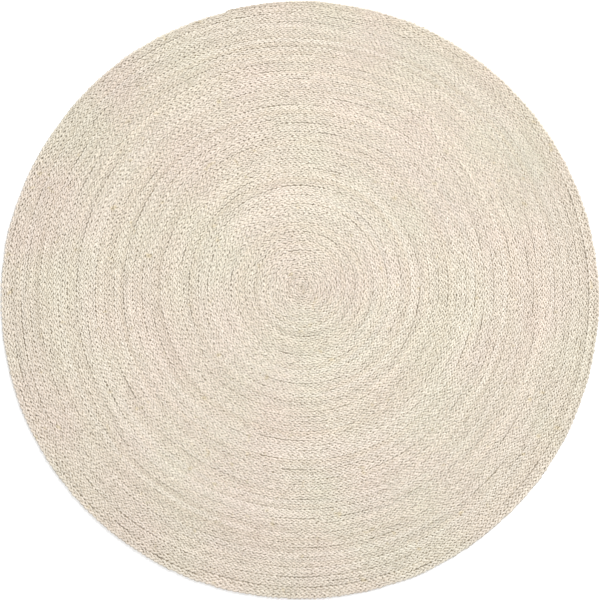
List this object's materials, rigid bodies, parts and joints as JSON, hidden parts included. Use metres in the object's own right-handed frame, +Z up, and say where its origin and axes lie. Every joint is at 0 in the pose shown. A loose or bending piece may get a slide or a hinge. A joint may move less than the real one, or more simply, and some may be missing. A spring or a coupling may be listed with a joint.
{
  "type": "round jute rug",
  "caption": "Flat round floor rug made of two long jute plaits side by side, coiled outwards from a small eye near the middle and sewn turn to turn, with a rounded rim and a flat underside",
  "frame": {"origin": "on the floor, under the middle of the rug", "axes": "+Z up out of the floor; +Y is up the page when the rug is seen from above as pictured, and +X is to the right"},
  "size_m": [1.4978, 1.4952, 0.012],
  "materials": {
    "jute_plait": "matte bleached jute, plaited"
  },
  "bodies": {
    "root": {"rug": "jute_plait"}
  },
  "joints": []
}
